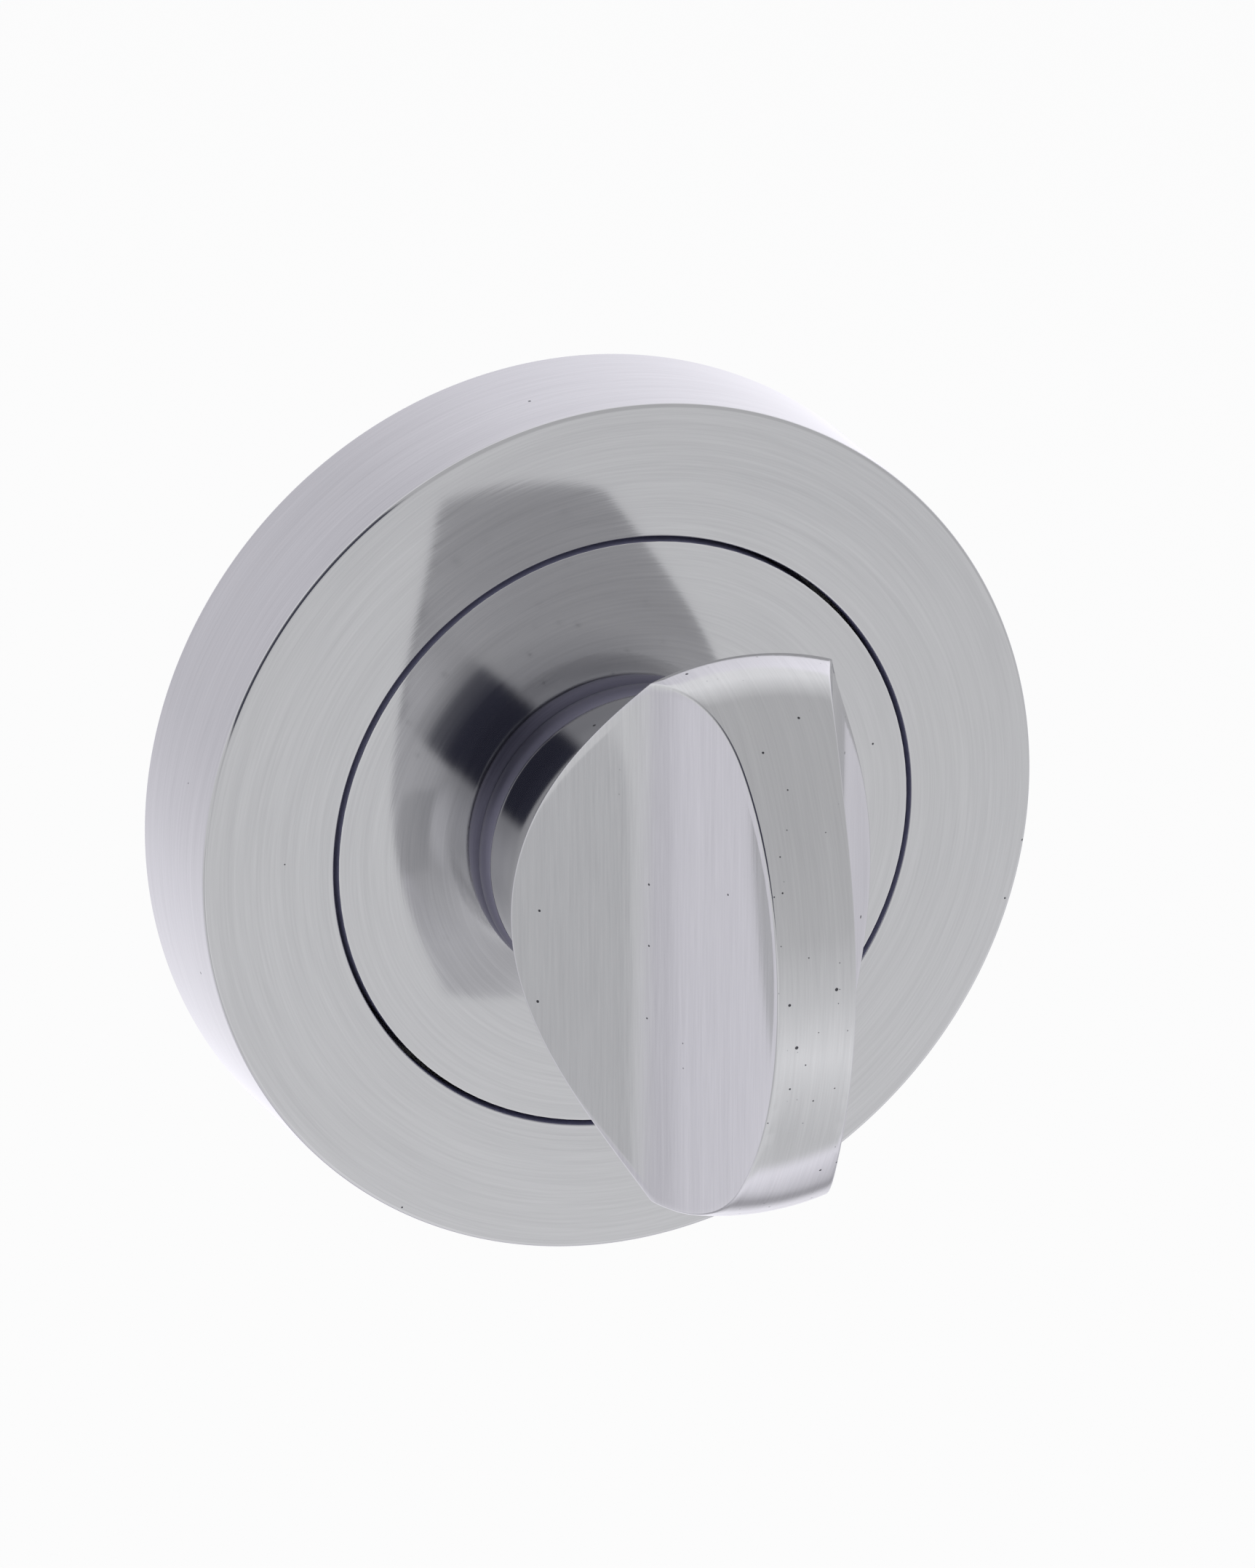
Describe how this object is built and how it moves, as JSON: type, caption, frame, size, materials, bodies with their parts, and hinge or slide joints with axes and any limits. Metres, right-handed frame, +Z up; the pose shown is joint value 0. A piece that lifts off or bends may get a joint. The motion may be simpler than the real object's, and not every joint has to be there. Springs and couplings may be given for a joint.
{
  "type": "bathroom thumb turn lock",
  "caption": "Scooped upright thumb knob on a trumpet neck, turning in a round screw-on rose, with a square spindle that drives a bathroom lock.",
  "frame": {"origin": "centre of the rose's door face, on the spindle's axis", "axes": "+Y into the door along the spindle, +Z up along the knob's blade at rest, +X to the user's right; the user faces +Y"},
  "size_m": [0.053, 0.079, 0.053],
  "materials": {
    "satin_nickel": "satin brushed plating on die-cast zinc",
    "nylon": "natural white nylon",
    "zinc_plated_steel": "bright zinc plating",
    "spring_steel": "oil-blacked spring steel"
  },
  "bodies": {
    "rose": {"cover_ring": "satin_nickel", "rose_base": "satin_nickel", "neck_collar": "satin_nickel", "bush": "nylon"},
    "turn": {"thumb_turn": "satin_nickel", "stop_cam": "zinc_plated_steel", "thrust_washer": "zinc_plated_steel", "circlip": "spring_steel", "spindle": "zinc_plated_steel", "grub_screw": "spring_steel"}
  },
  "joints": [
    {"name": "knob_turn", "type": "hinge", "parent": "rose", "child": "turn", "pos_m": [0, 0, 0], "axis": [0, 1, 0], "range_deg": [-90, 90]}
  ]
}
